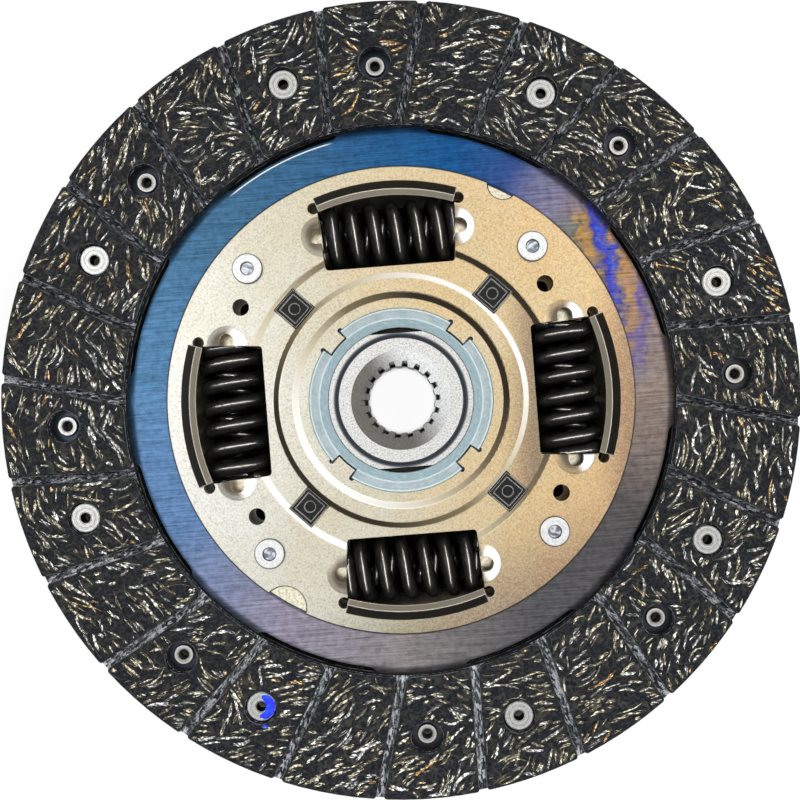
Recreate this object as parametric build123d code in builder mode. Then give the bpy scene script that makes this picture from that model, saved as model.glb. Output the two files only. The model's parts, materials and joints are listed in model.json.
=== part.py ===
"""Clutch disc with a sprung hub: two grooved facings on a cushion disc, two stamped covers, four pairs of
damper springs and a splined hub that turns a few degrees in the covers.

Millimetres. The disc's axis is Z, +Z is the flywheel side, and the origin is the centre of the hub's rear end
face, on which the disc rests. Angles are counter-clockwise from +X, seen from +Z, and a spring window is centred
on +X.
"""

import os
from math import asin, cos, degrees, hypot, radians, sin, tan

from build123d import *

# ---- driving dimensions ----------------------------------------------------------------------------------

# building aids
past = 1.0  # how far a cutter runs past the face that it cuts
touch = 0.01  # within this, a corner counts as lying on a face

# facings
facing_outer_d = 215.0
facing_inner_d = 149.0
facing_thickness = 3.5
groove_count = 24
groove_width = 2.1
groove_depth = 1.5
groove_offset = 14.8  # distance of each groove's centre line from the disc's axis
groove_phase = -0.5
groove_overrun = 10.0  # past the ring's edges
pad_inner_corner = 2.2
pad_outer_corner = 0.9

# tubular facing rivets, in groups: one held from the front, one from the rear
rivet_groups = 8
rear_rivet_angle = 0.0
front_rivet_angle = 16.0
rivet_head_d = 8.0
rivet_head_thickness = 0.9
rivet_shank_d = 3.9
rivet_bore_d = 2.6
rivet_roll_d = 5.5
rivet_roll_height = 0.8
rivet_roll_round = 0.36
rivet_head_round = 0.225
rivet_recess = 1.2  # from the facing's surface down to the rivet's head
rivet_well_gap = 0.35  # round the head, in its counterbore
fit_gap = 0.05  # round shanks and pins in their holes

# cushion disc
cushion_thickness = 0.8
cushion_overlap = 0.5  # how far the ring reaches under the cover's rim
cushion_edge = 1.2  # from the facing's inner edge in to the openings
opening_angle = 22.2
opening_span = 27.0
opening_width = 5.2
paddle_gap_angle = 30.5
paddle_gap_width = 2.6
paddle_margin = 3.5  # from the facing's outer edge in to the paddles
ear_width = 12.0

# covers
cover_thickness = 2.0
cover_rim = 4.0  # flat ring outside the window lips
front_cover_gap = 2.05  # flange to cover
rear_cover_gap = 2.65
window_count = 4
window_flare = 3.5  # degrees that a window's ends open outward
window_corner = 1.0
window_inner_gap = 0.05
lip_reach = 2.9  # how far a window's lip leans in
lip_bend = 45.0  # degrees from the cover's face up to the lip
lip_gap = 1.55  # from the spring out to the lip's outer corner
lip_half_angle = 19.15
relief_hole_d = 3.1
relief_hole_drop = 6.0  # from the lip's root in to the hole, along the window's centre line
relief_hole_side = 1.0  # out from the window's end
notch_width = 4.1
notch_depth = 3.3
dome_d = 11.0
dome_height = 1.3
step_width = 1.6
recess_width = 6.8
recess_drop = 1.0
raised_width = 3.7
inner_ring_width = 2.7
inner_ring_drop = 1.3
tab_width = 5.7
tab_gap = 0.6
tab_relief_d = 1.4
pilot_hole_d = 4.5
pilot_hole_inset = 4.5  # nearer to the axis than the stop rivets
pilot_hole_turn = 10.5
rim_notches = ((60.3, 4.2, 3.2), (236.3, 6.0, 5.1))  # angle, half-width at the rim, depth
edge_round = 0.4
bend_round = 0.6

# stop rivets
stop_rivet_edge = 8.9  # from the cover's rim in to the rivets
stop_shank_d = 6.8
stop_shoulder_d = 10.0
stop_head_d = 8.3
stop_head_height = 1.0
stop_dimple_d = 3.7
stop_dimple_depth = 0.5
stop_dimple_taper = 20.0
stop_head_round = 0.5
stop_gap = 0.15  # between shoulder and notch wall at the end of the twist
twist_limit = 8.0

# hub
spline_teeth = 18
spline_tip_d = 18.6
spline_tooth_height = 1.4
spline_gap_mouth = 1.9
spline_gap_floor = 1.3
spline_overlap = 0.5  # of each gap's outline into the bore
hub_wall = 8.9  # outside the spline's root
hub_flat_depth = 1.4
hub_flats_start = 1.0  # above the flange
shoulder_height = 3.75  # above the flange
nose_height = 2.0
nose_step = 2.0
nose_taper = 0.9
mouth_d = 26.8
rear_step = 0.6
rear_length = 10.75  # behind the flange
rear_chamfer = 1.4
collar_wall = 2.6
collar_teeth = 16
collar_tooth_width = 4.0
collar_tooth_height = 1.4

# flange
flange_thickness = 4.5
flange_spring_gap = 0.8
flange_tip_gap = 0.35  # inside the springs' outermost line
flange_notch_floor = 7.1  # from the stop rivets in to the notch's floor
flange_corner = 0.8

# springs
spring_outer_d = 18.5
spring_wire_d = 3.8
spring_length = 36.3
spring_active_turns = 5
spring_phase = 234.0
inner_spring_wire_d = 2.1
inner_spring_gap = 0.4
inner_spring_active_turns = 8
inner_spring_phase = 60.0
closed_coil_gap = 0.05
seat_gap = 0.05

# bushes and friction parts
running_gap = 0.1
face_gap = 0.05
guide_bush_wall = 2.5
guide_lug_reach = 2.8
guide_lug_span = 74.0
guide_bush_rise = 0.7  # above the cover's inner ring
guide_foot_reach = 2.4
guide_foot_thickness = 0.65
friction_ring_width = 5.7
friction_ring_thickness = 0.95
friction_spring_gap = 0.45  # from the friction parts out to the springs
friction_bore_step = 1.0  # from the cover's raised ring out to the friction parts' bore
friction_lug = 7.4
friction_lug_rise = 0.6  # above the cover's recess
friction_lug_rim = 0.9
friction_lug_pocket = 0.5
friction_lug_dimple_d = 3.0
friction_lug_dimple_depth = 1.5
lug_window_gap = 0.3
washer_thickness = 1.0
support_thickness = 0.6
disc_spring_thickness = 0.5
rear_bush_wall = 2.4
rear_bush_flange_reach = 3.4
rear_bush_flange_thickness = 0.9
rear_bush_rise = 1.2

# ---- levels, from the hub's rear end face up -------------------------------------------------------------

flange_rear_z = rear_length
flange_front_z = flange_rear_z + flange_thickness
spring_z = (flange_rear_z + flange_front_z) / 2
front_inner_z = flange_front_z + front_cover_gap  # the front cover's face towards the flange
rear_inner_z = flange_rear_z - rear_cover_gap
cushion_z = front_inner_z - cushion_thickness
facing_front_z = front_inner_z + facing_thickness
facing_rear_z = cushion_z - facing_thickness

# ---- radii, from the axis out ----------------------------------------------------------------------------

spline_tip_r = spline_tip_d / 2
spline_root_r = spline_tip_r + spline_tooth_height
hub_r = spline_root_r + hub_wall
rear_journal_r = hub_r - rear_step
collar_r = hub_r + collar_wall
guide_inner_r = hub_r + running_gap
guide_outer_r = guide_inner_r + guide_bush_wall
guide_lug_r = guide_outer_r + guide_lug_reach
tab_r = guide_outer_r + tab_gap
cover_bore_r = guide_lug_r + running_gap
inner_ring_r = cover_bore_r + inner_ring_width
raised_inner_r = inner_ring_r + step_width
raised_outer_r = raised_inner_r + raised_width
recess_inner_r = raised_outer_r + step_width
recess_outer_r = recess_inner_r + recess_width
flat_r = recess_outer_r + step_width
lug_r = (recess_inner_r + recess_outer_r) / 2
friction_inner_r = raised_inner_r + friction_bore_step
friction_outer_r = friction_inner_r + friction_ring_width
spring_inner_r = friction_outer_r + friction_spring_gap
spring_axis_r = spring_inner_r + spring_outer_d / 2
spring_outer_r = spring_inner_r + spring_outer_d
window_inner_r = spring_inner_r + window_inner_gap
lip_top_r = spring_outer_r + lip_gap
lip_root_r = lip_top_r + lip_reach
cover_r = lip_root_r + cover_rim
stop_r = cover_r - stop_rivet_edge
pilot_r = stop_r - pilot_hole_inset
cushion_inner_r = cover_r - cushion_overlap
facing_inner_r = facing_inner_d / 2
facing_outer_r = facing_outer_d / 2
facing_mid_r = (facing_inner_r + facing_outer_r) / 2
opening_r = facing_inner_r - cushion_edge + opening_width / 2

# ---- shared places ---------------------------------------------------------------------------------------

window_step = 360 / window_count
stop_angle = window_step / 2
window_angles = [window_step * i for i in range(window_count)]
well_r = rivet_head_d / 2 + rivet_well_gap
window_half = spring_length / 2 + seat_gap  # at the springs' axis


def radial_plane(angle):
    """The upright half-plane through the axis at an angle, with x outward and y up."""
    turn = radians(angle)
    return Plane(origin=(0, 0, 0), x_dir=(cos(turn), sin(turn), 0), z_dir=(sin(turn), -cos(turn), 0))


def window_half_at(radius):
    """Half the length of a spring window at a distance from the axis, along the window's centre line."""
    return window_half + (radius - spring_axis_r) * tan(radians(window_flare))


def window_outline(inner, outer):
    """A window's corners, for a window on +X."""
    low, high = window_half_at(inner), window_half_at(outer)
    return ((inner, -low), (outer, -high), (outer, high), (inner, low))


# ---- facings ---------------------------------------------------------------------------------------------


def build_facing(back_z, out, turn):
    """A friction ring riveted by its back, its pads standing out to one side (out is +1 or -1).

    Both facings are the same part: turn says how far it is turned about its own outward axis.
    """
    head_angle = front_rivet_angle + turn
    clear_angle = rear_rivet_angle + turn
    back = Plane((0, 0, back_z), z_dir=(0, 0, out), x_dir=(1, 0, 0))
    floor = back.offset(facing_thickness - groove_depth)
    groove_length = facing_outer_r - facing_inner_r + 2 * groove_overrun
    with BuildPart() as facing:
        with BuildSketch(back):
            Circle(facing_outer_r)
            Circle(facing_inner_r, mode=Mode.SUBTRACT)
        extrude(amount=facing_thickness - groove_depth)
        with BuildSketch(floor) as pads:
            Circle(facing_outer_r)
            Circle(facing_inner_r, mode=Mode.SUBTRACT)
            with PolarLocations(0, groove_count, start_angle=groove_phase + turn):
                with Locations((facing_mid_r, groove_offset)):
                    Rectangle(groove_length, groove_width, mode=Mode.SUBTRACT)
            corners = pads.vertices()
            fillet([v for v in corners if hypot(v.X, v.Y) < facing_mid_r], pad_inner_corner)
            corners = pads.vertices()
            fillet([v for v in corners if abs(hypot(v.X, v.Y) - facing_outer_r) < touch], pad_outer_corner)
        extrude(amount=groove_depth)
        with BuildSketch(back):
            with PolarLocations(facing_mid_r, rivet_groups, start_angle=clear_angle):
                Circle(well_r)
            with PolarLocations(facing_mid_r, rivet_groups, start_angle=head_angle):
                Circle(rivet_shank_d / 2 + fit_gap)
        extrude(amount=facing_thickness, mode=Mode.SUBTRACT)
        with BuildSketch(back.offset(facing_thickness)):
            with PolarLocations(facing_mid_r, rivet_groups, start_angle=head_angle):
                Circle(well_r)
        extrude(amount=-(rivet_recess + rivet_head_thickness), mode=Mode.SUBTRACT)
    return facing


front_facing = build_facing(front_inner_z, 1, 0)
rear_facing = build_facing(cushion_z, -1, -(front_rivet_angle + rear_rivet_angle))

# ---- cushion disc ----------------------------------------------------------------------------------------

paddle_r = facing_outer_r - paddle_margin
end_turn = degrees(opening_width / 2 / opening_r)  # of a slot's rounded end
with BuildPart() as cushion_disc:
    with BuildSketch(Plane.XY.offset(cushion_z)) as blank:
        Circle(paddle_r)
        Circle(cushion_inner_r, mode=Mode.SUBTRACT)
        with PolarLocations((stop_r + cushion_inner_r + past) / 2, window_count, start_angle=stop_angle):
            Rectangle(cushion_inner_r + past - stop_r, ear_width)
        with PolarLocations(stop_r, window_count, start_angle=stop_angle):
            Circle(ear_width / 2)
            Circle(stop_shank_d / 2 + fit_gap, mode=Mode.SUBTRACT)
        for group in range(rivet_groups):
            turn = group * 360 / rivet_groups
            sweep_angle = opening_span - 2 * end_turn
            arc = CenterArc((0, 0), opening_r, turn + opening_angle - sweep_angle / 2, sweep_angle)
            SlotArc(arc, opening_width, mode=Mode.SUBTRACT)
        gap_length = paddle_r + 2 * past - opening_r
        with PolarLocations(opening_r + gap_length / 2, rivet_groups, start_angle=paddle_gap_angle):
            Rectangle(gap_length, paddle_gap_width, mode=Mode.SUBTRACT)
        for rivet_angle in (front_rivet_angle, rear_rivet_angle):
            with PolarLocations(facing_mid_r, rivet_groups, start_angle=rivet_angle):
                Circle(rivet_shank_d / 2 + fit_gap, mode=Mode.SUBTRACT)
    extrude(amount=cushion_thickness)

# ---- facing rivets ---------------------------------------------------------------------------------------


def build_facing_rivets(head_z, out, rivet_angle):
    """A ring of tubular rivets: head outermost, rolled over against the cushion disc's far face."""
    grip = facing_thickness - rivet_recess - rivet_head_thickness + cushion_thickness
    neck = rivet_head_thickness
    tail = neck + grip
    with BuildPart() as rivet:
        with BuildSketch(Plane.XZ) as section:
            with BuildLine():
                Polyline(
                    (rivet_bore_d / 2, 0),
                    (rivet_head_d / 2, 0),
                    (rivet_head_d / 2, -neck * out),
                    (rivet_shank_d / 2, -neck * out),
                    (rivet_shank_d / 2, -tail * out),
                    (rivet_roll_d / 2, -tail * out),
                    (rivet_roll_d / 2, -(tail + rivet_roll_height) * out),
                    (rivet_bore_d / 2, -(tail + rivet_roll_height) * out),
                    close=True,
                )
            make_face()
            roll = [v for v in section.vertices() if abs(abs(v.Y) - tail - rivet_roll_height) < touch]
            fillet(roll, rivet_roll_round)
            rim = [v for v in section.vertices() if abs(v.Y) < touch]
            fillet(rim, rivet_head_round)
        revolve(axis=Axis.Z)
    with BuildPart() as ring:
        with Locations((0, 0, head_z)):
            with PolarLocations(facing_mid_r, rivet_groups, start_angle=rivet_angle):
                add(rivet.part)
    return ring


facing_rivets_front = build_facing_rivets(facing_front_z - rivet_recess, 1, front_rivet_angle)
facing_rivets_rear = build_facing_rivets(facing_rear_z + rivet_recess, -1, rear_rivet_angle)

# ---- covers ----------------------------------------------------------------------------------------------


def build_cap(radius, height, out):
    """A shallow dome on a flat base, for an embossed swelling."""
    ball_r = (radius**2 + height**2) / (2 * height)
    rise = ball_r - ball_r * cos(asin(radius / ball_r) / 2)
    mid = (ball_r * sin(asin(radius / ball_r) / 2), (height - rise) * out)
    with BuildPart() as cap:
        with BuildSketch(Plane.XZ):
            with BuildLine():
                Line((0, 0), (radius, 0))
                ThreePointArc((radius, 0), mid, (0, height * out))
                Line((0, height * out), (0, 0))
            make_face()
        revolve(axis=Axis.Z)
    return cap.part


def build_cover(inner_z, out, bore_r, drop):
    """A stamped cover without its bore's details: rings, embossed spring windows, rolled lips, rivet holes.

    inner_z is its face towards the flange, out is +1 for the front and -1 for the rear, and drop is how far the
    ring over the friction parts is pressed in.
    """
    outer_z = inner_z + cover_thickness * out
    rings = [(cover_r, 0), (raised_inner_r, 0), (inner_ring_r, -inner_ring_drop), (bore_r, -inner_ring_drop)]
    if drop:
        rings[1:1] = [(flat_r, 0), (recess_outer_r, -drop), (recess_inner_r, -drop), (raised_outer_r, 0)]
    upper = [(radius, outer_z + level * out) for radius, level in rings]
    lower = [(radius, level - cover_thickness * out) for radius, level in reversed(upper)]
    dome = build_cap(dome_d / 2, dome_height, out)
    with BuildPart() as cover:
        with BuildSketch(Plane.XZ) as section:
            with BuildLine():
                Polyline(*upper, *lower, close=True)
            make_face()
            bends = section.vertices().filter_by(lambda v: bore_r + touch < v.X < cover_r - touch)
            fillet(bends, bend_round)
            fillet(section.vertices().filter_by(lambda v: v.X > cover_r - touch), edge_round)
        revolve(axis=Axis.Z)
        swellings = [(spring_axis_r, side * window_half) for side in (-1, 1)]
        with PolarLocations(0, window_count):
            with Locations(*[(x, y, outer_z) for x, y in swellings]):
                add(dome)
            with Locations(*[(x, y, inner_z) for x, y in swellings]):
                add(dome, mode=Mode.SUBTRACT)
        window_outer_r = lip_root_r - cover_thickness * tan(radians(lip_bend / 2))
        with BuildSketch(Plane.XY.offset(inner_z - cover_thickness * out)) as openings:
            with PolarLocations(0, window_count):
                Polygon(*window_outline(window_inner_r, cover_r), align=None)
            Circle(window_outer_r, mode=Mode.INTERSECT)
            corner_r = hypot(window_inner_r, window_half_at(window_inner_r))
            fillet([v for v in openings.vertices() if hypot(v.X, v.Y) < corner_r + touch], window_corner)
            with PolarLocations(0, window_count):
                with Locations((spring_axis_r, 0)):
                    SlotOverall(2 * (window_half + notch_depth), notch_width, rotation=90)
                hole_x = lip_root_r - relief_hole_drop
                hole_y = window_half_at(hole_x) + relief_hole_side
                with Locations((hole_x, hole_y), (hole_x, -hole_y)):
                    Circle(relief_hole_d / 2)
            with PolarLocations(stop_r, window_count, start_angle=stop_angle):
                Circle(stop_shank_d / 2 + fit_gap)
            pilot_turn = radians(stop_angle - pilot_hole_turn)
            with GridLocations(2 * pilot_r * cos(pilot_turn), 2 * pilot_r * sin(pilot_turn), 2, 2):
                Circle(pilot_hole_d / 2)
        extrude(amount=(2 * cover_thickness + dome_height + past) * out, mode=Mode.SUBTRACT)
        for angle in window_angles:
            lip_rise = lip_reach * tan(radians(lip_bend))
            inset = cover_thickness * sin(radians(lip_bend))
            inset_rise = lip_rise - cover_thickness * cos(radians(lip_bend))
            with BuildSketch(radial_plane(angle - lip_half_angle)):
                with BuildLine():
                    Polyline(
                        (lip_root_r + edge_round, inner_z),
                        (lip_root_r + edge_round, outer_z),
                        (lip_root_r, outer_z),
                        (lip_top_r, outer_z + lip_rise * out),
                        (lip_top_r - inset, outer_z + inset_rise * out),
                        (window_outer_r, inner_z),
                        close=True,
                    )
                make_face()
            revolve(axis=Axis.Z, revolution_arc=2 * lip_half_angle)
    return cover


front_blank = build_cover(front_inner_z, 1, tab_r, recess_drop)
inner_ring_z = front_inner_z + cover_thickness - inner_ring_drop  # the inner ring's outer face
with BuildPart() as front_cover:
    add(front_blank.part)
    with BuildSketch(Plane.XY.offset(front_inner_z - inner_ring_drop - past)):
        Circle(cover_bore_r)
        with PolarLocations(cover_bore_r, window_count, start_angle=stop_angle):
            Rectangle(2 * (cover_bore_r - tab_r + past), tab_width, mode=Mode.SUBTRACT)
        half_turn = degrees(asin((tab_width + tab_relief_d) / 2 / cover_bore_r))
        for side in (-1, 1):
            with PolarLocations(cover_bore_r, window_count, start_angle=stop_angle + side * half_turn):
                Circle(tab_relief_d / 2)
        with PolarLocations(lug_r, window_count, start_angle=stop_angle):
            Rectangle(friction_lug + 2 * lug_window_gap, friction_lug + 2 * lug_window_gap)
        for angle, half_width, depth in rim_notches:
            bite_r = (half_width**2 + depth**2) / (2 * depth)
            with PolarLocations(cover_r - depth + bite_r, 1, start_angle=angle):
                Circle(bite_r)
    extrude(amount=2 * cover_thickness + inner_ring_drop + past, mode=Mode.SUBTRACT)

rear_bush_r = rear_journal_r + running_gap + rear_bush_wall
rear_cover = build_cover(rear_inner_z, -1, rear_bush_r + fit_gap, 0)

# ---- stop rivets -----------------------------------------------------------------------------------------

front_outer_z = front_inner_z + cover_thickness
rear_outer_z = rear_inner_z - cover_thickness
with BuildPart() as stop_rivet:
    with BuildSketch(Plane.XZ) as section:
        with BuildLine():
            Polyline(
                (0, rear_outer_z - stop_head_height),
                (stop_head_d / 2, rear_outer_z - stop_head_height),
                (stop_head_d / 2, rear_outer_z),
                (stop_shank_d / 2, rear_outer_z),
                (stop_shank_d / 2, rear_inner_z),
                (stop_shoulder_d / 2, rear_inner_z),
                (stop_shoulder_d / 2, cushion_z),
                (stop_shank_d / 2, cushion_z),
                (stop_shank_d / 2, front_outer_z),
                (stop_head_d / 2, front_outer_z),
                (stop_head_d / 2, front_outer_z + stop_head_height),
                (0, front_outer_z + stop_head_height),
                close=True,
            )
        make_face()
        ends = (rear_outer_z - stop_head_height, front_outer_z + stop_head_height)
        rims = [v for v in section.vertices() if v.X > touch and min(abs(v.Y - end) for end in ends) < touch]
        fillet(rims, stop_head_round)
    revolve(axis=Axis.Z)
    for end, out in zip(ends, (-1, 1)):
        with BuildSketch(Plane.XY.offset(end)):
            Circle(stop_dimple_d / 2)
        extrude(amount=-stop_dimple_depth * out, taper=stop_dimple_taper * out, mode=Mode.SUBTRACT)
with BuildPart() as stop_rivets:
    with PolarLocations(stop_r, window_count, start_angle=stop_angle):
        add(stop_rivet.part)

# ---- hub and flange --------------------------------------------------------------------------------------

shoulder_z = flange_front_z + shoulder_height
nose_z = shoulder_z + nose_height
nose_r = hub_r - nose_step
mouth_r = mouth_d / 2
with BuildPart() as hub:
    with BuildSketch(Plane.XZ):
        with BuildLine():
            Polyline(
                (0, 0),
                (rear_journal_r - rear_chamfer, 0),
                (rear_journal_r, rear_chamfer),
                (rear_journal_r, flange_rear_z),
                (collar_r, flange_rear_z),
                (collar_r, flange_front_z),
                (hub_r, flange_front_z),
                (hub_r, shoulder_z),
                (nose_r, shoulder_z),
                (nose_r - nose_taper, nose_z),
                (0, nose_z),
                close=True,
            )
        make_face()
    revolve(axis=Axis.Z)
    with BuildSketch(Plane.XY.offset(flange_rear_z)):
        with PolarLocations(collar_r, collar_teeth):
            Rectangle(2 * collar_tooth_height, collar_tooth_width)
    extrude(amount=flange_thickness)
    with BuildSketch(Plane.XY.offset(flange_front_z + hub_flats_start)):
        with GridLocations(0, 2 * hub_r, 1, 2):
            Rectangle(2 * hub_r, 2 * hub_flat_depth)
    extrude(amount=shoulder_height + nose_height, mode=Mode.SUBTRACT)
    with BuildSketch() as spline_bore:
        Circle(spline_tip_r)
        with PolarLocations(0, spline_teeth):
            Polygon(
                (spline_tip_r - spline_overlap, -spline_gap_mouth / 2),
                (spline_root_r, -spline_gap_floor / 2),
                (spline_root_r, spline_gap_floor / 2),
                (spline_tip_r - spline_overlap, spline_gap_mouth / 2),
                align=None,
            )
    extrude(amount=nose_z, mode=Mode.SUBTRACT)
    for face_z, wide_r, out in ((nose_z, mouth_r, 1), (0, spline_root_r + rear_chamfer / 2, -1)):
        with BuildSketch(Plane.XZ):
            with BuildLine():
                Polyline((0, face_z), (wide_r, face_z), (0, face_z - wide_r * out), close=True)
            make_face()
        revolve(axis=Axis.Z, mode=Mode.SUBTRACT)

stop_half_angle = twist_limit + degrees(asin((stop_shoulder_d / 2 + stop_gap) / stop_r))
notch_in_r = stop_r - flange_notch_floor
flange_r = spring_outer_r + flange_tip_gap
with BuildPart() as hub_flange:
    with BuildSketch(Plane.XY.offset(flange_rear_z)) as plate:
        Circle(flange_r)
        open_window = window_outline(spring_inner_r - flange_spring_gap, cover_r)
        with PolarLocations(0, window_count):
            Polygon(*open_window, align=None, mode=Mode.SUBTRACT)
        with PolarLocations(0, window_count, start_angle=stop_angle):
            edge_x, edge_y = cos(radians(stop_half_angle)), sin(radians(stop_half_angle))
            Polygon(
                (notch_in_r * edge_x, -notch_in_r * edge_y),
                (cover_r * edge_x, -cover_r * edge_y),
                (cover_r * edge_x, cover_r * edge_y),
                (notch_in_r * edge_x, notch_in_r * edge_y),
                align=None,
                mode=Mode.SUBTRACT,
            )
        fillet(plate.vertices(), flange_corner)
        Circle(collar_r + fit_gap, mode=Mode.SUBTRACT)
        tooth_gap = 2 * fit_gap
        with PolarLocations(collar_r, collar_teeth):
            Rectangle(2 * collar_tooth_height + tooth_gap, collar_tooth_width + tooth_gap, mode=Mode.SUBTRACT)
    extrude(amount=flange_thickness)

# ---- damper springs --------------------------------------------------------------------------------------


def build_coil(outer_d, wire_d, active_turns, phase, lefthand):
    """A compression spring along Z about the origin: open coils between closed ends, ground to the window."""
    coil_r = (outer_d - wire_d) / 2
    closed_pitch = wire_d + closed_coil_gap
    active_height = spring_length - 2 * closed_pitch
    half = spring_length / 2
    with BuildPart() as coil:
        with BuildLine() as path:
            Helix(closed_pitch, closed_pitch, coil_r, center=(0, 0, -half), lefthand=lefthand)
            Helix(active_height / active_turns, active_height, coil_r, center=(0, 0, closed_pitch - half),
                  lefthand=lefthand)
            Helix(closed_pitch, closed_pitch, coil_r, center=(0, 0, half - closed_pitch), lefthand=lefthand)
        with BuildSketch(Plane(origin=path.line @ 0, z_dir=path.line % 0)):
            Circle(wire_d / 2)
        sweep(path=path.line, is_frenet=True)
    slope = outer_d * tan(radians(window_flare))
    with BuildPart() as ground:
        add(coil.part, rotation=(0, 0, phase))
        with BuildSketch(Plane.XZ):
            with BuildLine():
                Polyline(
                    (-outer_d, -half + slope),
                    (outer_d, -half - slope),
                    (outer_d, half + slope),
                    (-outer_d, half - slope),
                    close=True,
                )
            make_face()
        extrude(amount=outer_d, both=True, mode=Mode.INTERSECT)
    return ground.part


inner_d = spring_outer_d - 2 * spring_wire_d - 2 * inner_spring_gap
outer_coil = build_coil(spring_outer_d, spring_wire_d, spring_active_turns, spring_phase, False)
inner_coil = build_coil(inner_d, inner_spring_wire_d, inner_spring_active_turns, inner_spring_phase, True)
springs = {}
for number, angle in enumerate(window_angles, 1):
    turn = radians(angle)
    seat = Plane(
        origin=(spring_axis_r * cos(turn), spring_axis_r * sin(turn), spring_z),
        x_dir=(cos(turn), sin(turn), 0),
        z_dir=(-sin(turn), cos(turn), 0),
    )
    for name, coil in (("damper_spring", outer_coil), ("inner_spring", inner_coil)):
        with BuildPart(seat) as spring:
            add(coil)
        springs[f"{name}_{number}"] = spring

# ---- bushes and friction parts ---------------------------------------------------------------------------

bush_z = flange_front_z + face_gap
with BuildPart() as guide_bush:
    with BuildSketch(Plane.XY.offset(bush_z)):
        Circle(guide_lug_r + guide_foot_reach)
        Circle(guide_inner_r, mode=Mode.SUBTRACT)
    extrude(amount=guide_foot_thickness)
    with BuildSketch(Plane.XY.offset(bush_z + guide_foot_thickness)) as lugs:
        Circle(guide_lug_r)
        with PolarLocations(0, window_count, start_angle=stop_angle):
            gap_half = radians(window_step - guide_lug_span) / 2
            reach = guide_lug_r + past
            Polygon((0, 0), (reach, -reach * tan(gap_half)), (reach, reach * tan(gap_half)), align=None,
                    mode=Mode.SUBTRACT)
        Circle(guide_outer_r)
        Circle(guide_inner_r, mode=Mode.SUBTRACT)
    extrude(amount=inner_ring_z + guide_bush_rise - bush_z - guide_foot_thickness)

ring_z = front_inner_z - recess_drop - friction_ring_thickness
with BuildPart() as friction_ring:
    with BuildSketch(Plane.XY.offset(ring_z)):
        Circle(friction_outer_r)
        Circle(friction_inner_r, mode=Mode.SUBTRACT)
    extrude(amount=friction_ring_thickness)
    lug_top = front_inner_z - recess_drop + cover_thickness + friction_lug_rise
    with BuildSketch(Plane.XY.offset(ring_z)):
        with PolarLocations(lug_r, window_count, start_angle=stop_angle):
            Rectangle(friction_lug, friction_lug)
    extrude(amount=lug_top - ring_z)
    with BuildSketch(Plane.XY.offset(lug_top)):
        with PolarLocations(lug_r, window_count, start_angle=stop_angle):
            pocket = friction_lug - 2 * friction_lug_rim
            Rectangle(pocket, pocket)
    extrude(amount=-friction_lug_pocket, mode=Mode.SUBTRACT)
    with BuildSketch(Plane.XY.offset(lug_top)):
        with PolarLocations(lug_r, window_count, start_angle=stop_angle):
            Circle(friction_lug_dimple_d / 2)
    extrude(amount=-friction_lug_dimple_depth, mode=Mode.SUBTRACT)

washer_z = flange_rear_z - face_gap - washer_thickness
with BuildPart() as friction_washer:
    with BuildSketch(Plane.XY.offset(washer_z)):
        Circle(friction_outer_r)
        Circle(friction_inner_r, mode=Mode.SUBTRACT)
    extrude(amount=washer_thickness)

support_z = washer_z - support_thickness
with BuildPart() as support_ring:
    with BuildSketch(Plane.XY.offset(support_z)):
        Circle(friction_outer_r)
        Circle(friction_inner_r, mode=Mode.SUBTRACT)
    extrude(amount=support_thickness)

with BuildPart() as disc_spring:
    with BuildSketch(Plane.XZ):
        with BuildLine():
            Polyline(
                (friction_inner_r, rear_inner_z),
                (friction_outer_r, support_z - disc_spring_thickness),
                (friction_outer_r, support_z),
                (friction_inner_r, rear_inner_z + disc_spring_thickness),
                close=True,
            )
        make_face()
    revolve(axis=Axis.Z)

rear_bush_z = flange_rear_z - face_gap
with BuildPart() as rear_bush:
    with BuildSketch(Plane.XZ):
        sleeve_in, sleeve_out = rear_journal_r + running_gap, rear_bush_r
        flange_under = rear_bush_z - rear_bush_flange_thickness
        sleeve_end = rear_outer_z + inner_ring_drop - rear_bush_rise
        with BuildLine():
            Polyline(
                (sleeve_in, rear_bush_z),
                (sleeve_out + rear_bush_flange_reach, rear_bush_z),
                (sleeve_out + rear_bush_flange_reach, flange_under),
                (sleeve_out, flange_under),
                (sleeve_out, sleeve_end),
                (sleeve_in, sleeve_end),
                close=True,
            )
        make_face()
    revolve(axis=Axis.Z)

# ---- export ----------------------------------------------------------------------------------------------

pieces = {
    "front_facing": front_facing,
    "rear_facing": rear_facing,
    "cushion_disc": cushion_disc,
    "facing_rivets_front": facing_rivets_front,
    "facing_rivets_rear": facing_rivets_rear,
    "front_cover": front_cover,
    "rear_cover": rear_cover,
    "stop_rivets": stop_rivets,
    "hub": hub,
    "hub_flange": hub_flange,
    "guide_bush": guide_bush,
    "friction_ring": friction_ring,
    "friction_washer": friction_washer,
    "support_ring": support_ring,
    "disc_spring": disc_spring,
    "rear_bush": rear_bush,
    **springs,
}
os.makedirs("parts", exist_ok=True)
for name, piece in pieces.items():
    piece.part.label = name
    export_step(piece.part, f"parts/{name}.step")
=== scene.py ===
"""Looks for the clutch disc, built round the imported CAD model. Metres, in the CAD's own frame."""

import json
import math

import bmesh
import bpy
import numpy as np
from mathutils import Matrix, Vector

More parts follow.
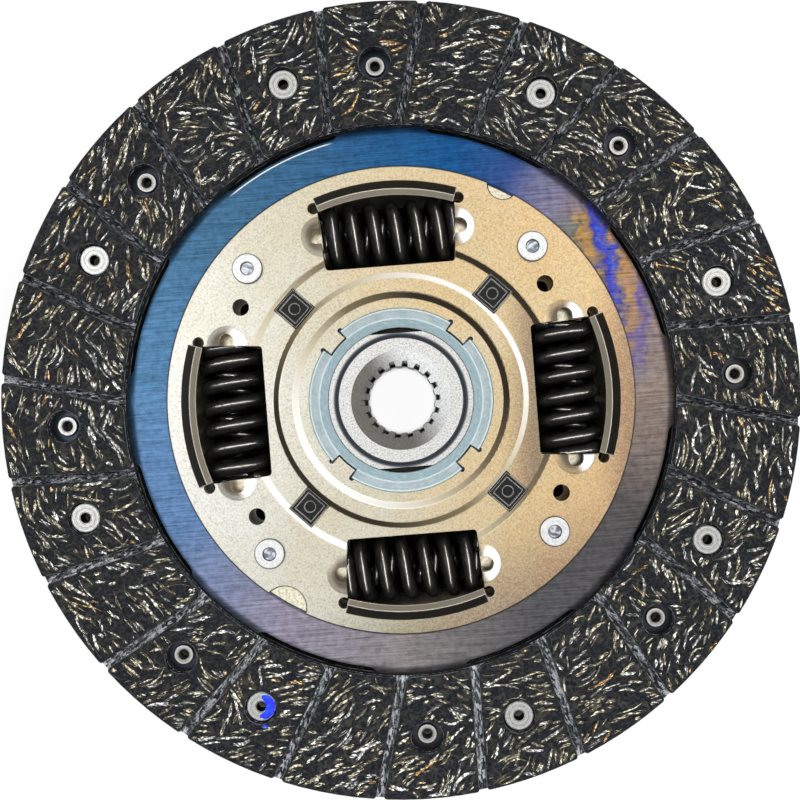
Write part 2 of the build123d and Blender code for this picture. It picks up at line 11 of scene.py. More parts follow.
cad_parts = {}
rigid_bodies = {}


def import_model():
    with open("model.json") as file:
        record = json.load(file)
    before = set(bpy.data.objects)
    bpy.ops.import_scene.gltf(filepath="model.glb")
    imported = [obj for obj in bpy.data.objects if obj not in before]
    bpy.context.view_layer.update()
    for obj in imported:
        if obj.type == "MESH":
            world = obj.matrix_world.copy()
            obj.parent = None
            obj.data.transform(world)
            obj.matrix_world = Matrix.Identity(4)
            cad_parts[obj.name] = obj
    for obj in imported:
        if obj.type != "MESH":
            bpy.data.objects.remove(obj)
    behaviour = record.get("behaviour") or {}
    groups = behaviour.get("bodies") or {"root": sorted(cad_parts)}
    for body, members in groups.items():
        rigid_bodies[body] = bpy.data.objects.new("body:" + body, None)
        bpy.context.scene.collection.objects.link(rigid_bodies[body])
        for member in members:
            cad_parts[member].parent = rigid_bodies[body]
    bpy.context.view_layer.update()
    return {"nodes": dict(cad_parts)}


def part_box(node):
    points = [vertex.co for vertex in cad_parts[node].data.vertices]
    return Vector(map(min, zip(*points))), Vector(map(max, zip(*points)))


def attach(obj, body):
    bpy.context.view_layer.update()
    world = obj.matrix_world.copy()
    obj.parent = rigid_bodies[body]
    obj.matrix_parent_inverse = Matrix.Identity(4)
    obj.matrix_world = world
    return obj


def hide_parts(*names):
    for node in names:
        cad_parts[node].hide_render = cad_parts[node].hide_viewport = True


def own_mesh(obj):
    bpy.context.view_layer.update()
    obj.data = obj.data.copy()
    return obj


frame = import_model()
nodes = frame["nodes"]
MM = 0.001
FRONT_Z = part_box("front_facing")[1].z  # tops of the front pads
REAR_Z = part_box("rear_facing")[0].z
SHOULDER_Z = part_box("hub")[1].z - 2.0 * MM  # the step below the hub's nose
IMAGE_TURN = 4.5  # degrees from +X to the camera's right, clockwise

# The disc's own sizes in millimetres, and places round it in degrees from +X.
FACING_IN, FACING_OUT = 74.5, 107.5
GROOVES, GROOVE_WIDTH, GROOVE_DEPTH, GROOVE_OFFSET, GROOVE_PHASE = 24, 2.1, 1.5, 14.8, -0.5
WELL_R, CORNER_R = 4.35, 2.2
RIVET_R, RIVETS, FRONT_RIVETS, REAR_RIVETS = 91.0, 8, 16.0, 0.0  # the circle, a set's number, each set's first
RIVET_ANGLES = [a + 360 / RIVETS * k for a in (REAR_RIVETS, FRONT_RIVETS) for k in range(RIVETS)]
STOP_R, STOP_FIRST = 54.6, 45.0
COVER_R = 63.5
RECESS_R = 41.5  # the cover's stepped middle
DOME_R, DOME_SIDE = 49.3, 21.7  # swellings at the windows' ends, to each side of a window
RIM_NOTCHES = ((60.3, 4.2, 3.2), (236.3, 6.0, 5.1))  # angle, half-width at the rim, depth
CONE_R, NOSE_R = 13.4, 14.6  # on the hub: the bore's mouth, and its nose
BUSH_IN, BUSH_OUT = 19.5, 25.5
WINDOWS = 4
SPRING_AXIS_R, SPRING_Z, SPRING_LENGTH = 45.8, 13.0, 36.3
WINDOW_FLARE = math.radians(3.5)
CLOSED_GAP = 0.05  # between a spring's end turns


def image_way(azimuth, elevation):
    """A direction by its angle in the camera's picture, counter-clockwise from the right, and its height."""
    a, e = math.radians(azimuth - IMAGE_TURN), math.radians(elevation)
    return Vector((math.cos(a) * math.cos(e), math.sin(a) * math.cos(e), math.sin(e)))


RIGHT, ABOVE = image_way(0, 0), image_way(90, 0)  # in the picture

# ---- colours and node helpers -------------------------------------------------------------------------------


def rgb(r, g, b):
    """A display colour, 0 to 255, as the linear colour that shaders take."""
    out = []
    for value in (r, g, b):
        c = value / 255
        out.append(c / 12.92 if c <= 0.04045 else ((c + 0.055) / 1.055) ** 2.4)
    return (*out, 1.0)


class Nodes:
    """Short calls that add nodes to one tree and give back their output sockets."""

    def __init__(self, tree):
        self.tree = tree

    def node(self, kind, **settings):
        made = self.tree.nodes.new(kind)
        for key, value in settings.items():
            setattr(made, key, value)
        return made

    def feed(self, socket, value):
        if isinstance(value, bpy.types.NodeSocket):
            self.tree.links.new(value, socket)
        else:
            socket.default_value = value

    def fed(self, kind, *values, **settings):
        """A new node with values for its first inputs."""
        made = self.node(kind, **settings)
        for socket, value in zip(made.inputs, values):
            self.feed(socket, value)
        return made

    def math(self, operation, a, b=0.0, c=0.0, clamp=False):
        return self.fed("ShaderNodeMath", a, b, c, operation=operation, use_clamp=clamp).outputs[0]

    def chain(self, operation, first, *others):
        for value in others:
            first = self.math(operation, first, value)
        return first

    def times(self, *values):
        return self.chain("MULTIPLY", *values)

    def plus(self, *values):
        return self.chain("ADD", *values)

    def most(self, *values):
        return self.chain("MAXIMUM", *values)

    def inverse(self, value):
        return self.math("SUBTRACT", 1.0, value)

    def remap(self, value, low, high):
        """A 0 to 1 value stretched to low to high."""
        return self.math("MULTIPLY_ADD", value, high - low, low)

    def swing(self, value, size):
        """A 0 to 1 value brought about 0, size wide."""
        return self.remap(value, -size / 2, size / 2)

    def between(self, radius, inner, outer):
        """0 at inner, 1 at outer, both in millimetres."""
        return self.math("MULTIPLY_ADD", radius, 1 / ((outer - inner) * MM), -inner / (outer - inner))

    def smooth(self, value, low, high):
        """0 below low, 1 above high."""
        made = self.node("ShaderNodeMapRange", interpolation_type="SMOOTHSTEP", clamp=True)
        self.feed(made.inputs["Value"], value)
        made.inputs["From Min"].default_value = low
        made.inputs["From Max"].default_value = high
        return made.outputs["Result"]

    def fall(self, value, low, high):
        """1 below low, 0 above high."""
        return self.inverse(self.smooth(value, low, high))

    def dot(self, a, b):
        return self.fed("ShaderNodeVectorMath", a, b, operation="DOT_PRODUCT").outputs["Value"]

    def ramp(self, value, stops):
        made = self.fed("ShaderNodeValToRGB", value)
        elements = made.color_ramp.elements
        while len(elements) < len(stops):
            elements.new(0.5)
        for element, (position, colour) in zip(elements, stops):
            element.position = position
            element.color = colour
        return made.outputs["Color"]

    def grey_ramp(self, value, stops):
        """A ramp of linear greys."""
        return self.ramp(value, [(position, (grey, grey, grey, 1)) for position, grey in stops])

    def mix(self, factor, a, b, blend="MIX"):
        made = self.node("ShaderNodeMix", data_type="RGBA", blend_type=blend)
        self.feed(made.inputs[0], factor)
        self.feed(made.inputs[6], a)
        self.feed(made.inputs[7], b)
        return made.outputs[2]

    def seen_directly(self):
        """1 for rays from the camera, a mirror or glass."""
        path = self.node("ShaderNodeLightPath").outputs
        return self.most(path["Is Camera Ray"], path["Is Glossy Ray"], path["Is Transmission Ray"])


class Shader(Nodes):
    """One node material, with short calls for what the looks below use."""

    def __init__(self, name, **settings):
        self.material = bpy.data.materials.new(name)
        self.material.use_nodes = True
        super().__init__(self.material.node_tree)
        self.bsdf = self.tree.nodes["Principled BSDF"]
        for key, value in settings.items():
            self.bsdf.inputs[key.replace("_", " ")].default_value = value
        self.place = self.node("ShaderNodeTexCoord").outputs["Object"]

    def mapped(self, scale, turn):
        """The object's own coordinates, turned about Z by degrees and then scaled."""
        made = self.fed("ShaderNodeMapping", self.place)
        made.inputs["Rotation"].default_value = (0, 0, math.radians(turn))
        made.inputs["Scale"].default_value = scale
        return made.outputs["Vector"]

    def noise(self, scale, detail=2.0, rough=0.5, vector=None, distortion=0.0):
        made = self.node("ShaderNodeTexNoise")
        self.feed(made.inputs["Vector"], vector or self.place)
        made.inputs["Scale"].default_value = scale
        made.inputs["Detail"].default_value = detail
        made.inputs["Roughness"].default_value = rough
        made.inputs["Distortion"].default_value = distortion
        return made.outputs["Fac"]

    def axes(self):
        """Radius, angle from 0 to 1, and height of the shaded point about the disc's axis."""
        x, y, z = self.fed("ShaderNodeSeparateXYZ", self.place).outputs
        radius = self.math("SQRT", self.plus(self.times(x, x), self.times(y, y)))
        share = self.math("FRACT", self.math("DIVIDE", self.math("ARCTAN2", y, x), 2 * math.pi))
        return radius, share, z

    def polar(self, radial, round_scale):
        """Coordinates stretched along the radius: features per metre along it, and round it at 90 mm."""
        radius, share, _ = self.axes()
        along, about = self.times(radius, radial), self.times(share, round_scale * 2 * math.pi * 0.09)
        return self.fed("ShaderNodeCombineXYZ", along, about).outputs[0]

    def true_normal(self):
        return self.node("ShaderNodeNewGeometry").outputs["True Normal"]

    def normal_along(self, way):
        """How far the flat face looks along a direction, from -1 to 1."""
        return self.dot(self.true_normal(), way)

    def level(self):
        """1 on level faces, 0 on upright walls."""
        return self.math("ABSOLUTE", self.normal_along((0, 0, 1)))

    def outward(self):
        """How far the face looks away from the axis, from -1 to 1."""
        flat = self.fed("ShaderNodeVectorMath", self.place, (1, 1, 0), operation="MULTIPLY")
        unit = self.fed("ShaderNodeVectorMath", flat.outputs[0], operation="NORMALIZE")
        return self.dot(self.true_normal(), unit.outputs[0])

    def rounded_normal(self, width):
        rounded = self.node("ShaderNodeBevel", samples=4)
        rounded.inputs["Radius"].default_value = width
        return rounded.outputs["Normal"]

    def edges(self, width, low=0.03, high=0.16):
        """1 along sharp edges, within width metres of them."""
        return self.smooth(self.inverse(self.dot(self.rounded_normal(width), self.true_normal())), low, high)

    def across(self, azimuth, reach):
        """Where the point lies from -1 to 1 across the picture, towards an angle in it."""
        return self.dot(self.place, image_way(azimuth, 0) / reach)

    def from_centres(self, ring_r, first, count):
        """The distance to the nearest of count centres, on a circle of ring_r, the first at first degrees."""
        radius, share, _ = self.axes()
        place = self.math("MULTIPLY_ADD", share, count, 0.5 - first / 360 * count)
        turn = self.times(self.math("SUBTRACT", self.math("FRACT", place), 0.5), 2 * math.pi / count)
        squares = self.math("MULTIPLY_ADD", radius, radius, ring_r * ring_r)
        cross = self.times(radius, 2 * ring_r, self.math("COSINE", turn))
        return self.math("SQRT", self.most(self.math("SUBTRACT", squares, cross), 0.0))

    def colour(self, value):
        self.feed(self.bsdf.inputs["Base Color"], value)

    def metal(self, value):
        self.feed(self.bsdf.inputs["Metallic"], value)

    def rough(self, value, low, high):
        """Roughness from low to high by a 0 to 1 value."""
        self.feed(self.bsdf.inputs["Roughness"], self.remap(value, low, high))

    def bump(self, height, distance, strength, edge=0.0):
        """Relief of up to distance metres; edge rounds sharp edges by that many metres."""
        made = self.node("ShaderNodeBump")
        made.inputs["Strength"].default_value = strength
        made.inputs["Distance"].default_value = distance
        self.feed(made.inputs["Height"], height)
        if edge:
            self.feed(made.inputs["Normal"], self.rounded_normal(edge))
        self.feed(self.bsdf.inputs["Normal"], made.outputs["Normal"])


def dress(shader, *names):
    """Gives a material to CAD nodes."""
    for name in names:
        node = nodes[name]
        node.data.materials.clear()
        node.data.materials.append(shader.material)

# ---- friction compound --------------------------------------------------------------------------------------


def friction_compound():
    """Black moulded compound on the pads, crumpled and shiny in the grooves."""
    s = Shader("friction_compound", Roughness=0.55, Specular_IOR_Level=0.16)
    height = s.axes()[2]
    grain = s.noise(1100, 4, 0.65)
    base = s.ramp(grain, ((0.3, rgb(6, 7, 10)), (0.52, rgb(20, 22, 26)), (0.7, rgb(43, 45, 51))))
    # resin, and strands buried in it
    resin = s.smooth(s.noise(560, 3, 0.6, distortion=1.5), 0.5, 0.68)
    base = s.mix(s.times(resin, 0.25), base, rgb(74, 70, 58))
    strand = s.noise(230, 1, 0.5, distortion=0.5)
    ridge = s.math("ABSOLUTE", s.math("SUBTRACT", strand, 0.5))
    buried = s.times(s.fall(ridge, 0.012, 0.05), s.smooth(s.noise(240, 2), 0.4, 0.6))
    base = s.mix(s.times(buried, 0.18), base, rgb(92, 88, 76))
    # crumpled skin on the grooves' floors, with painted light brightening it towards the picture's foot
    crease = s.noise(1.0, 3, 0.68, s.polar(620, 1500), 2.4)
    chips = s.fed("ShaderNodeTexVoronoi", s.polar(700, 1900))
    chips.inputs["Scale"].default_value = 1.0
    chip = s.fed("ShaderNodeSeparateColor", chips.outputs["Color"]).outputs[0]
    foil_value = s.plus(s.times(crease, 0.72), s.times(chip, 0.28))
    gleam = s.times(s.smooth(s.across(262, FACING_OUT * MM), -0.1, 0.8), 0.07)
    foil = s.ramp(
        s.plus(foil_value, gleam),
        ((0.36, rgb(12, 13, 16)), (0.48, rgb(40, 42, 46)), (0.58, rgb(78, 80, 84)), (0.7, rgb(178, 180, 184))),
    )
    front_floor = s.math("COMPARE", height, FRONT_Z - GROOVE_DEPTH * MM, 0.2 * MM)
    rear_floor = s.math("COMPARE", height, REAR_Z + GROOVE_DEPTH * MM, 0.2 * MM)
    floor_mask = s.math("ADD", front_floor, rear_floor, clamp=True)
    # painted highlight along the arrises, broken up by noise
    arris = s.times(s.edges(0.22 * MM), s.smooth(s.noise(520, 2), 0.38, 0.62))
    skin = s.mix(floor_mask, base, foil)
    s.colour(s.mix(s.times(arris, 0.8), skin, rgb(152, 154, 154)))
    s.rough(s.noise(300, 2), 0.4, 0.7)
    relief = s.plus(s.times(foil_value, s.remap(floor_mask, 0.2, 1.6)), grain)
    s.bump(relief, 0.22 * MM, 0.8)
    return s


dress(friction_compound(), "front_facing", "rear_facing")

# ---- heat-blued cushion disc --------------------------------------------------------------------------------


def heat_blued_steel():
    """Ground steel with a heat tint that changes round the ring, and an oily slick over a part of it."""
    s = Shader("heat_blued_steel", Metallic=1.0, Roughness=0.32)
    radius, share, _ = s.axes()
    # heat tint by the angle round the ring
    sway = s.noise(38, 3, 0.6)
    turned = s.plus(share, s.swing(sway, 0.05))
    tint = s.ramp(
        s.math("FRACT", s.plus(turned, 1.0)),
        (
            (0.0, rgb(150, 138, 138)),
            (0.07, rgb(126, 116, 138)),
            (0.135, rgb(128, 124, 150)),
            (0.165, rgb(60, 84, 142)),
            (0.205, rgb(30, 88, 144)),
            (0.35, rgb(70, 110, 142)),
            (0.48, rgb(80, 120, 156)),
            (0.57, rgb(100, 132, 176)),
            (0.66, rgb(156, 150, 168)),
            (0.74, rgb(148, 142, 142)),
            (0.83, rgb(96, 95, 98)),
            (0.92, rgb(92, 89, 90)),
            (1.0, rgb(150, 138, 138)),
        ),
    )
    # an oily slick: bands of colour that slant inwards as they run clockwise
    ring_share = s.between(radius, COVER_R, FACING_IN)
    swirls = s.noise(150, 4, 0.6, distortion=0.8)
    patch = s.noise(170, 4, 0.66, distortion=0.4)
    mottle = s.noise(620, 3, 0.62)
    strokes = s.noise(1.0, 4, 0.66, s.polar(150, 420), 0.6)
    drift = s.plus(s.swing(swirls, 1.5), s.swing(strokes, 0.5), s.swing(mottle, 0.5))
    behind = s.math("FRACT", s.plus(share, 0.25))
    slick_place = s.plus(ring_share, drift, s.math("MULTIPLY_ADD", behind, -20.0, 6.88))
    slick = s.ramp(
        s.math("MULTIPLY_ADD", slick_place, 0.4, 0.1),
        (
            (0.04, rgb(116, 116, 108)),
            (0.13, rgb(184, 142, 68)),
            (0.23, rgb(118, 108, 108)),
            (0.28, rgb(88, 78, 146)),
            (0.33, rgb(52, 56, 180)),
            (0.385, rgb(54, 92, 206)),
            (0.43, rgb(66, 58, 176)),
            (0.49, rgb(126, 116, 124)),
            (0.56, rgb(184, 140, 84)),
            (0.66, rgb(168, 134, 106)),
            (0.74, rgb(98, 82, 158)),
            (0.86, rgb(134, 122, 134)),
            (0.96, rgb(148, 128, 110)),
        ),
    )
    slick_span = s.times(s.smooth(behind, 0.15, 0.24), s.fall(behind, 0.36, 0.385))
    fading = s.remap(s.smooth(behind, 0.25, 0.33), 0.5, 0.92)
    slick_mask = s.times(slick_span, fading, s.smooth(patch, 0.25, 0.5))
    # grinding lines, then painted shade at the ring's edges, by the cover's rim and by the facings
    lines = s.noise(1.0, 4, 0.7, s.mapped((60, 1900, 60), IMAGE_TURN + 2))
    steel = s.mix(slick_mask, tint, slick)
    worn = s.plus(s.times(lines, 0.68), s.times(mottle, 0.32))
    steel = s.mix(0.62, steel, s.ramp(worn, ((0.34, rgb(70, 70, 70)), (0.64, rgb(240, 240, 240)))), "OVERLAY")
    rim = s.most(s.smooth(radius, 72.2 * MM, 73.4 * MM), s.fall(radius, 63.6 * MM, 64.3 * MM))
    steel = s.mix(s.times(rim, 0.6), steel, rgb(22, 26, 34))
    # a painted highlight arc on the upper left, painted shade in the wells outside, and scratches
    arc = s.times(s.smooth(share, 0.278, 0.285), s.fall(share, 0.343, 0.35))
    arc = s.times(arc, s.math("COMPARE", radius, 72.5 * MM, 0.17 * MM))
    steel = s.mix(arc, steel, rgb(244, 246, 248))
    steel = s.mix(s.times(s.smooth(radius, 74 * MM, 76 * MM), 0.85), steel, rgb(60, 62, 68))
    scratch = s.noise(1.0, 2, 0.5, s.mapped((240, 2600, 240), IMAGE_TURN + 9))
    steel = s.mix(s.times(s.smooth(scratch, 0.7, 0.84), 0.6), steel, rgb(170, 182, 200))
    s.colour(steel)
    s.rough(lines, 0.26, 0.5)
    s.bump(lines, 0.02 * MM, 0.6, edge=0.08 * MM)
    return s


dress(heat_blued_steel(), "cushion_disc")

# ---- plated covers ------------------------------------------------------------------------------------------


def yellow_zinc():
    """Yellow zinc, paler on the picture's left, with the light on its steps, lips and swellings painted in."""
    s = Shader("yellow_zinc", Metallic=1.0, Roughness=0.34)
    radius = s.axes()[0]
    speckle = s.noise(2300, 3, 0.72)
    cloud = s.noise(28, 3, 0.55)
    # warmer to the right; painted shade at the right and the lower edge, and in the recess's right
    warmth = s.plus(s.remap(s.across(12, COVER_R * MM), 0.5, 1.0), s.swing(cloud, 0.9))
    zinc = s.ramp(
        warmth,
        (
            (0.0, rgb(244, 245, 241)),
            (0.35, rgb(234, 230, 216)),
            (0.7, rgb(238, 222, 195)),
            (1.0, rgb(240, 215, 181)),
        ),
    )
    rightward = s.across(0, COVER_R * MM)
    shaded = s.times(s.smooth(s.across(292, COVER_R * MM), 0.6, 1.05), 0.4)
    dusk = s.times(s.smooth(rightward, 0.8, 1.0), 0.4)
    hollow = s.fall(radius, RECESS_R * MM, (RECESS_R + 2) * MM)
    far = s.times(s.smooth(rightward, 0.4, 0.6), 0.5)
    shaded = s.most(shaded, dusk, s.times(far, hollow))
    zinc = s.mix(shaded, zinc, rgb(112, 106, 92), "MULTIPLY")
    grains = s.ramp(speckle, ((0.3, rgb(78, 72, 60)), (0.5, rgb(146, 142, 134)), (0.72, rgb(220, 217, 211))))
    skin = s.mix(0.6, zinc, grains, "OVERLAY")
    pores = s.ramp(s.noise(1900, 3, 0.72), ((0.34, rgb(186, 179, 164)), (0.54, rgb(252, 250, 246))))
    skin = s.mix(0.6, skin, pores, "MULTIPLY")
    # painted light and shade on the slopes, by the way they face
    level = s.level()
    lean = s.fall(level, 0.9, 0.992)
    steep = s.math("SQRT", s.most(s.inverse(s.times(level, level)), 0.01))
    lit = s.math("DIVIDE", s.normal_along(image_way(42, 0)), steep)
    slope = s.ramp(
        s.remap(lit, 0.5, 1.0),
        (
            (0.12, rgb(46, 38, 27)),
            (0.4, rgb(118, 103, 78)),
            (0.66, rgb(206, 194, 166)),
            (0.96, rgb(255, 253, 248)),
        ),
    )
    # painted shade on the upright walls
    wall = s.fall(level, 0.1, 0.3)
    slope = s.mix(s.times(wall, 0.85), slope, rgb(40, 33, 25))
    # rolled lips of the windows: painted shade on the side that faces out
    out = s.outward()
    lip = s.math("SUBTRACT", s.smooth(radius, 55.0 * MM, 55.4 * MM), s.smooth(radius, 60.0 * MM, 60.4 * MM))
    lip_tone = s.ramp(
        s.remap(out, 0.5, 1.0),
        ((0.1, rgb(136, 128, 112)), (0.4, rgb(78, 70, 58)), (0.6, rgb(14, 13, 12)), (0.9, rgb(26, 23, 20))),
    )
    slope = s.mix(lip, slope, lip_tone)
    # swellings at the windows' ends, with painted light and shade: soft on the shaded side, crisp on the bright
    # one
    sides = [s.from_centres(DOME_R * MM, side, WINDOWS) for side in (DOME_SIDE, -DOME_SIDE)]
    reach = s.math("MINIMUM", *sides)
    domed = s.math("DIVIDE", s.normal_along(image_way(5, 0)), steep)
    soft = s.fall(reach, 3.2 * MM, 6.0 * MM)
    foot = s.fall(reach, 5.9 * MM, 6.3 * MM)
    crisp = s.fall(reach, 4.8 * MM, 5.7 * MM)
    bright_side = s.smooth(domed, 0.0, 0.5)
    dome = s.math("MULTIPLY_ADD", s.math("SUBTRACT", crisp, soft), bright_side, soft)
    dome_tone = s.ramp(
        s.remap(domed, 0.5, 1.0),
        (
            (0.2, rgb(92, 80, 68)),
            (0.5, rgb(112, 100, 88)),
            (0.66, rgb(220, 212, 198)),
            (0.76, rgb(255, 255, 255)),
        ),
    )
    not_wall = s.inverse(wall)
    foot_only = s.times(foot, not_wall)
    slope = s.mix(foot_only, slope, dome_tone)
    lean = s.most(s.times(lean, s.inverse(foot_only)), s.times(dome, not_wall))
    skin = s.mix(lean, skin, slope)
    # painted highlight and painted shade as lines along the edges, and the dark rim
    catch = s.most(s.remap(s.smooth(lit, -0.5, 0.5), 0.1, 0.8), lip)
    catch = s.times(catch, s.inverse(s.times(foot, 0.85)))
    skin = s.mix(s.times(s.edges(0.5 * MM, 0.06, 0.22), catch), skin, rgb(255, 250, 238))
    # painted shade as a thin dark line right at the edges
    edge_shade = s.times(s.edges(0.14 * MM, 0.06, 0.22), s.remap(lip, 0.75, 0.0))
    skin = s.mix(edge_shade, skin, rgb(44, 36, 28))
    s.colour(s.mix(s.smooth(radius, 62.95 * MM, 63.3 * MM), skin, rgb(52, 42, 32)))
    s.metal(s.remap(lean, 1.0, 0.35))
    s.rough(speckle, 0.26, 0.5)
    s.bump(speckle, 0.035 * MM, 0.7, edge=0.22 * MM)
    return s


dress(yellow_zinc(), "front_cover", "rear_cover")

# ---- bright rivets and turned hub ---------------------------------------------------------------------------


def turned_head(name, first, bore):
    """Bright plating with fine turning lines round each head's own centre, painted shade on the heads' steep
    sides, and a dark bore of painted shade.
    """
    s = Shader(name, Metallic=1.0, Roughness=0.3, Specular_IOR_Level=0.05)
    pits = s.noise(1700, 3, 0.6)
    reach = s.from_centres(RIVET_R * MM, first, RIVETS)
    spin = s.fed("ShaderNodeCombineXYZ", s.times(reach, 3600), s.times(pits, 1.2))
    turning = s.noise(1.0, 2, 0.6, spin.outputs[0])
    skin = s.mix(
        0.5,
        s.ramp(pits, ((0.3, rgb(150, 150, 147)), (0.6, rgb(226, 226, 222)))),
        s.ramp(turning, ((0.38, rgb(106, 106, 103)), (0.6, rgb(250, 250, 247)))),
    )
    # painted shade on the heads' steep sides
    skin = s.mix(s.times(s.fall(s.level(), 0.6, 0.96), 0.7), skin, rgb(96, 96, 96))
    halo = s.math("COMPARE", reach, bore + 0.35 * MM, 0.28 * MM)
    skin = s.mix(s.times(halo, 0.5), skin, rgb(112, 100, 84))
    head = s.smooth(reach, bore - 0.1 * MM, bore + 0.1 * MM)
    # painted shade filling the bore
    s.colour(s.mix(s.inverse(head), skin, rgb(10, 10, 11)))
    s.metal(head)
    s.rough(pits, 0.24, 0.46)
    s.bump(s.plus(pits, turning), 0.025 * MM, 0.6, edge=0.12 * MM)
    return s


dress(turned_head("bright_rivet_front", FRONT_RIVETS, 1.15 * MM), "facing_rivets_front")
dress(turned_head("bright_rivet_rear", REAR_RIVETS, 1.35 * MM), "facing_rivets_rear")


def bright_zinc():
    """The stop rivets' bright heads, with a dull dimple in each."""
    s = Shader("bright_zinc", Metallic=1.0, Roughness=0.3)
    pits = s.noise(1500, 3, 0.6)
    reach = s.from_centres(STOP_R * MM, STOP_FIRST, 4)
    silver = s.ramp(pits, ((0.3, rgb(220, 221, 222)), (0.6, rgb(252, 252, 251))))
    sunk = s.fall(reach, 1.5 * MM, 1.9 * MM)
    swirl = s.noise(430, 2, 0.5, distortion=1.2)
    dimple = s.ramp(swirl, ((0.36, rgb(84, 92, 106)), (0.5, rgb(136, 146, 160)), (0.62, rgb(226, 230, 236))))
    silver = s.mix(s.times(sunk, 0.9), silver, dimple)
    ringed = s.math("COMPARE", reach, 1.75 * MM, 0.14 * MM)
    silver = s.mix(s.times(ringed, 0.7), silver, rgb(64, 66, 70))
    # painted shade on the heads' steep sides
    silver = s.mix(s.times(s.fall(s.level(), 0.6, 0.95), 0.75), silver, rgb(70, 64, 54))
    s.colour(silver)
    s.rough(pits, 0.24, 0.46)
    s.bump(pits, 0.03 * MM, 0.6, edge=0.12 * MM)
    return s


dress(bright_zinc(), "stop_rivets")


def machined_steel():
    """Grainy turned steel, with the light on the hub's cone, nose and shoulder painted in."""
    s = Shader("machined_steel", Metallic=1.0, Roughness=0.4)
    radius, _, height = s.axes()
    grit = s.noise(2100, 4, 0.74)
    stain = s.noise(45, 3, 0.6)
    hub_tone = s.ramp(grit, ((0.28, rgb(142, 141, 137)), (0.5, rgb(234, 233, 230)), (0.7, rgb(255, 255, 254))))
    hub_skin = s.mix(s.smooth(stain, 0.52, 0.75), hub_tone, rgb(226, 223, 214), "MULTIPLY")
    # slopes: the cone at the bore's mouth, with painted shade on one side, and the nose's edge with a painted
    # dark reflection
    walls = s.fall(s.level(), 0.86, 0.98)
    mouth = s.times(walls, s.fall(radius, CONE_R * MM, (CONE_R + 0.1) * MM))
    cone_shade = s.smooth(s.across(212, CONE_R * MM), -0.8, 0.3)
    cone_tone = s.ramp(grit, ((0.3, rgb(170, 170, 168)), (0.55, rgb(244, 244, 243)), (0.7, rgb(255, 255, 255))))
    cone_tone = s.mix(cone_shade, cone_tone, rgb(118, 116, 110), "MULTIPLY")
    hub_skin = s.mix(mouth, hub_skin, cone_tone)
    past_nose = s.smooth(radius, NOSE_R * MM, (NOSE_R + 0.3) * MM)
    hub_skin = s.mix(s.times(walls, past_nose), hub_skin, rgb(44, 47, 54))
    # painted shade in the fillet round the nose
    below = s.fall(height, SHOULDER_Z + 0.05 * MM, SHOULDER_Z + 0.2 * MM)
    fillet = s.times(below, s.fall(radius, 17.9 * MM, 18.6 * MM), past_nose)
    hub_skin = s.mix(fillet, hub_skin, rgb(52, 57, 66))
    # painted shade on the spline's walls and on all that lies under the shoulder
    deep = s.times(s.fall(s.level(), 0.1, 0.3), s.fall(radius, 11.6 * MM, 11.8 * MM))
    hub_skin = s.mix(deep, hub_skin, rgb(34, 32, 30))
    under = s.fall(height, SHOULDER_Z - 0.6 * MM, SHOULDER_Z - 0.3 * MM)
    low = s.times(under, s.smooth(radius, 14.0 * MM, 14.4 * MM))
    hub_skin = s.mix(low, hub_skin, rgb(14, 14, 15))
    s.colour(hub_skin)
    s.metal(s.remap(s.most(walls, deep, low, fillet), 1.0, 0.25))
    s.rough(grit, 0.34, 0.6)
    s.bump(grit, 0.05 * MM, 0.8, edge=0.15 * MM)
    return s


dress(machined_steel(), "hub")


def plain_steel():
    """Rolled steel of the hidden washers."""
    s = Shader("plain_steel", Metallic=1.0, Roughness=0.38)
    mill = s.noise(1.0, 3, 0.6, s.mapped((120, 2200, 120), 20))
    s.colour(s.ramp(mill, ((0.3, rgb(112, 110, 106)), (0.7, rgb(176, 174, 170)))))
    s.rough(mill, 0.28, 0.5)
    s.bump(mill, 0.02 * MM, 0.5, edge=0.1 * MM)
    return s


dress(plain_steel(), "friction_washer", "support_ring", "disc_spring")


def pale_flange_steel():
    """The pale flange that shows in the slots."""
    s = Shader("pale_flange_steel", Metallic=1.0, Roughness=0.25)
    mill = s.noise(900, 3, 0.65)
    s.colour(s.ramp(mill, ((0.3, rgb(206, 192, 158)), (0.6, rgb(252, 242, 218)))))
    s.rough(mill, 0.18, 0.3)
    s.bump(mill, 0.03 * MM, 0.5, edge=0.15 * MM)
    return s


dress(pale_flange_steel(), "hub_flange")

# ---- moulded parts ------------------------------------------------------------------------------------------


